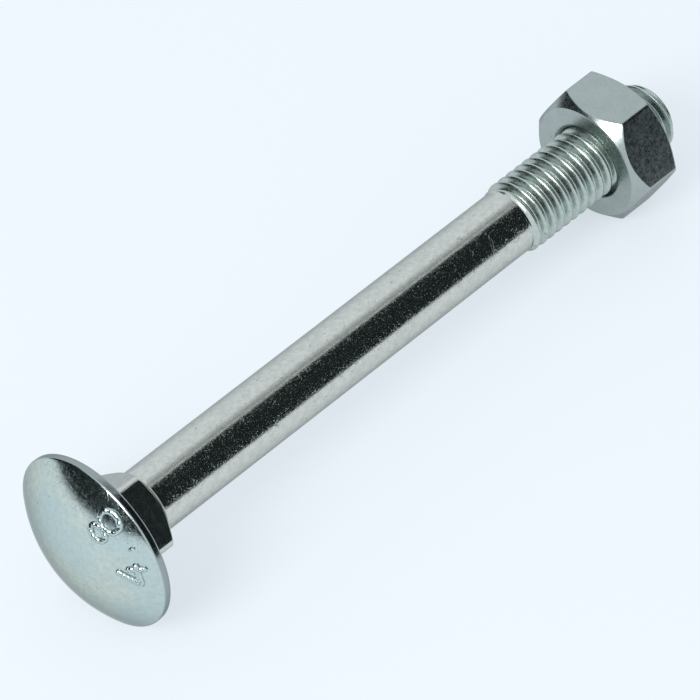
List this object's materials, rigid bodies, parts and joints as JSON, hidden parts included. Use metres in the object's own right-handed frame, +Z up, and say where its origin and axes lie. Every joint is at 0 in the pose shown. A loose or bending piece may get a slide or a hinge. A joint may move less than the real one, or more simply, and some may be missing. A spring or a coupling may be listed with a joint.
{
  "type": "carriage bolt",
  "caption": "Long steel carriage bolt with a domed round head, square neck and part-threaded shank, with its hexagon nut run on near the tip.",
  "frame": {"origin": "centre of the head's bearing face, on the bolt's axis", "axes": "+X runs along the bolt towards the tip, dipping 2.3 degrees as it lies at rest; +Y is level; +Z is up"},
  "size_m": [0.1055, 0.0244, 0.0244],
  "materials": {
    "zinc_bolt": "bright blue-passivated zinc plate, lightly mottled",
    "zinc_nut": "bright blue-passivated zinc plate"
  },
  "bodies": {
    "bolt": {"bolt": "zinc_bolt"},
    "hex_nut": {"hex_nut": "zinc_nut"}
  },
  "joints": [
    {"name": "nut_travel", "type": "slide", "parent": "bolt", "child": "hex_nut", "axis": [0.9992, 0, -0.04], "range_m": [-0.0135, 0.0105]}
  ]
}
